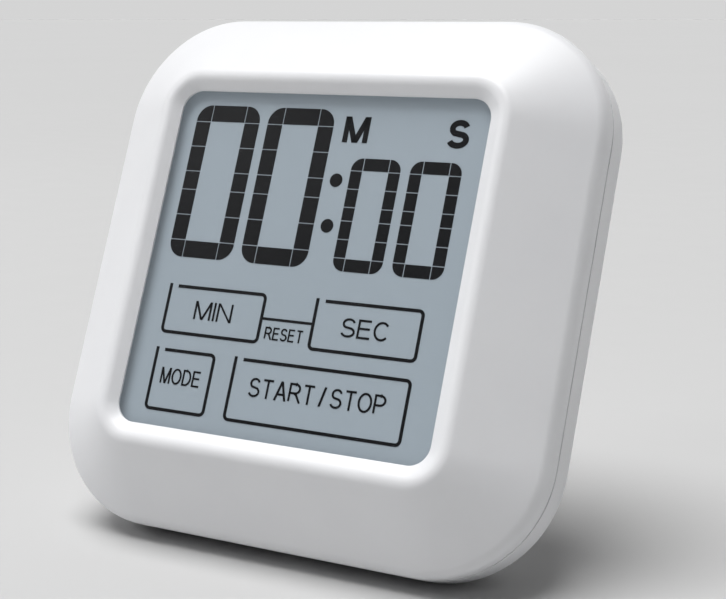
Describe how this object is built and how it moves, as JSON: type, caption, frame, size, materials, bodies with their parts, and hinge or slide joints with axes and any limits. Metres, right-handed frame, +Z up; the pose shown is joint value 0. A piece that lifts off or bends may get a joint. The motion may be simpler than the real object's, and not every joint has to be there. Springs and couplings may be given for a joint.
{
  "type": "touch-panel kitchen timer",
  "caption": "Square digital countdown timer with a touch display in a sloped white frame, leaning back on a folding leg, with a battery door and a magnetic back.",
  "frame": {"origin": "on the table, at the middle of the whole outline seen from above, with the leg open", "axes": "+X to the user's right, -Y towards the user, +Z up; the face looks towards -Y and leans back 23 degrees"},
  "size_m": [0.086, 0.0482, 0.0817],
  "materials": {
    "shell_white": "fine matte moulded ABS",
    "clear_cover": "clear polished cover panel",
    "dark_foam": "thin black adhesive foam",
    "sensor_film": "clear conductive film",
    "ribbon_amber": "polyimide ribbon",
    "lcd_glass": "display glass",
    "lcd_ink": "switched-on display segments",
    "lcd_reflector": "grey reflector film",
    "holder_white": "moulded frame",
    "zebra_rubber": "striped conductive rubber",
    "board_green": "solder mask",
    "chip_black": "epoxy",
    "plated_steel": "nickel-plated spring steel",
    "part_ceramic": "small surface-mount parts",
    "connector_ivory": "moulded connector",
    "switch_grey": "dark thumb pad",
    "buzzer_brass": "brass disc",
    "buzzer_ceramic": "silvered piezo ceramic",
    "lead_red": "insulated lead",
    "cell_sleeve": "plain printed cell sleeve",
    "magnet_nickel": "nickel-plated magnet",
    "screw_zinc": "zinc-plated steel"
  },
  "bodies": {
    "case": {"front_shell": "shell_white", "rear_shell": "shell_white", "cover_glass": "clear_cover", "lens_gasket": "dark_foam", "touch_film": "sensor_film", "touch_ribbon": "ribbon_amber", "lcd_front_glass": "lcd_glass", "lcd_rear_glass": "lcd_glass", "lcd_reflector": "lcd_reflector", "minute_tens_digit": "lcd_ink", "minute_units_digit": "lcd_ink", "second_tens_digit": "lcd_ink", "second_units_digit": "lcd_ink", "colon_dots": "lcd_ink", "key_outlines": "lcd_ink", "lcd_holder": "holder_white", "zebra_strip_upper": "zebra_rubber", "zebra_strip_lower": "zebra_rubber", "main_board": "board_green", "controller_blob": "chip_black", "touch_chip": "chip_black", "crystal": "plated_steel", "board_parts": "part_ceramic", "ribbon_connector": "connector_ivory", "switch_body": "plated_steel", "buzzer_plate": "buzzer_brass", "buzzer_ceramic": "buzzer_ceramic", "buzzer_leads": "lead_red", "battery_upper": "cell_sleeve", "battery_lower": "cell_sleeve", "positive_contact": "plated_steel", "negative_contact": "plated_steel", "negative_spring": "plated_steel", "bridge_contact": "plated_steel", "bridge_spring": "plated_steel", "battery_leads": "lead_red", "magnet_left": "magnet_nickel", "magnet_right": "magnet_nickel", "case_screws": "screw_zinc", "board_screws": "screw_zinc"},
    "leg": {"leg": "shell_white"},
    "door": {"battery_door": "shell_white"},
    "knob": {"switch_knob": "switch_grey"}
  },
  "joints": [
    {"name": "leg_hinge", "type": "hinge", "parent": "case", "child": "leg", "pos_m": [0, 0.00829, 0.04031], "axis": [1, 0, 0], "range_deg": [-38, 0]},
    {"name": "door_hinge", "type": "hinge", "parent": "case", "child": "door", "pos_m": [0, 0.0115, 0.04519], "axis": [-1, 0, 0], "range_deg": [0, 70]},
    {"name": "switch_slide", "type": "slide", "parent": "case", "child": "knob", "axis": [1, 0, 0], "range_m": [0, 0.004]}
  ]
}
